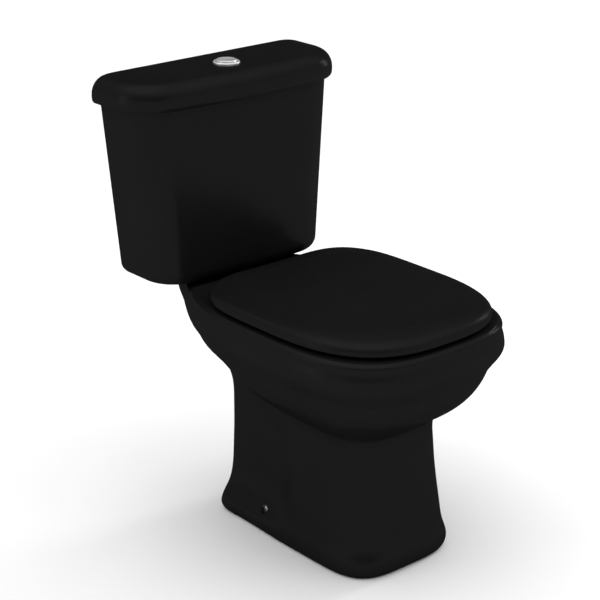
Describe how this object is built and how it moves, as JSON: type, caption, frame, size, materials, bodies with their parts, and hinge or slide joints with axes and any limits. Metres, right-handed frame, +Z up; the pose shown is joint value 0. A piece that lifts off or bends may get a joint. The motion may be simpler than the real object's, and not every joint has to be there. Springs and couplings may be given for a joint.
{
  "type": "close coupled toilet",
  "caption": "Glossy black close coupled toilet: rounded pan on a pedestal, cistern with an overhanging lid and push button, hinged seat and cover, working flush linkage.",
  "frame": {"origin": "on the floor, under the middle of the toilet's overall box", "axes": "+Z up, -Y towards the front of the pan, +X to the right of a person who faces the toilet's front"},
  "size_m": [0.441, 0.6182, 0.7425],
  "materials": {
    "black_china": "gloss",
    "black_seat": "gloss",
    "chrome": "polished",
    "steel": "brushed",
    "brass": "satin",
    "rubber": "matt",
    "white_plastic": "satin",
    "grey_plastic": "satin",
    "black_plastic": "satin"
  },
  "bodies": {
    "base": {"pan_rim": "black_china", "pan_bowl": "black_china", "pan_skirt": "black_china", "pan_pedestal": "black_china", "pan_basin": "black_china", "pan_sump": "black_china", "pan_trap": "black_china", "pan_outlet": "black_china", "cistern_tank": "black_china", "hinge_posts": "chrome", "hinge_pins": "chrome", "hinge_screws": "steel", "hinge_plugs": "rubber", "coupling_gasket": "rubber", "tank_bolts": "brass", "tank_bolt_rubbers": "rubber", "tank_bolt_washers": "steel", "tank_wing_nuts": "brass", "flush_valve_body": "white_plastic", "flush_valve_gasket": "rubber", "flush_valve_nut": "black_plastic", "lever_pin": "steel", "fill_valve_body": "white_plastic", "fill_valve_cap": "white_plastic", "fill_valve_gasket": "rubber", "fill_valve_nut": "black_plastic", "floor_brackets": "steel", "fixing_screws": "chrome", "fixing_cups": "black_plastic"},
    "lid": {"cistern_lid": "black_china", "button_collar": "chrome", "button_collar_nut": "black_plastic", "button_spring": "steel"},
    "ring": {"seat_ring": "black_seat", "seat_buffers": "rubber"},
    "cover": {"seat_cover": "black_seat", "cover_buffers": "rubber"},
    "button": {"push_button": "chrome", "push_rod": "white_plastic"},
    "lever": {"lift_lever": "white_plastic"},
    "spindle": {"flush_spindle": "white_plastic", "flush_seal": "rubber"},
    "float": {"fill_valve_float": "grey_plastic"}
  },
  "joints": [
    {"name": "seat_hinge", "type": "hinge", "parent": "base", "child": "ring", "pos_m": [0, 0.11, 0.414], "axis": [-1, 0, 0], "range_deg": [0, 92]},
    {"name": "cover_hinge", "type": "hinge", "parent": "ring", "child": "cover", "pos_m": [0, 0.11, 0.414], "axis": [1, 0, 0], "range_deg": [-92, 0]},
    {"name": "lid_lift", "type": "slide", "parent": "base", "child": "lid", "axis": [0, 0, 1], "range_m": [0, 0.15]},
    {"name": "button_press", "type": "slide", "parent": "lid", "child": "button", "axis": [0, 0, -1], "range_m": [0, 0.006], "stiffness_N_per_m": 300, "springref_m": -0.008, "deforming": ["button_spring"]},
    {"name": "lever_rock", "type": "hinge", "parent": "base", "child": "lever", "pos_m": [0.026, 0.23, 0.585], "axis": [0, -1, 0], "range_deg": [0, 17.5]},
    {"name": "spindle_lift", "type": "slide", "parent": "base", "child": "spindle", "axis": [0, 0, 1], "range_m": [0, 0.006]},
    {"name": "float_slide", "type": "slide", "parent": "base", "child": "float", "axis": [0, 0, 1], "range_m": [0, 0.1]}
  ],
  "couplings": [
    {"joint": "lever_rock", "follows": "button_press", "rad_per_m": 50},
    {"joint": "spindle_lift", "follows": "button_press", "ratio": 1}
  ]
}
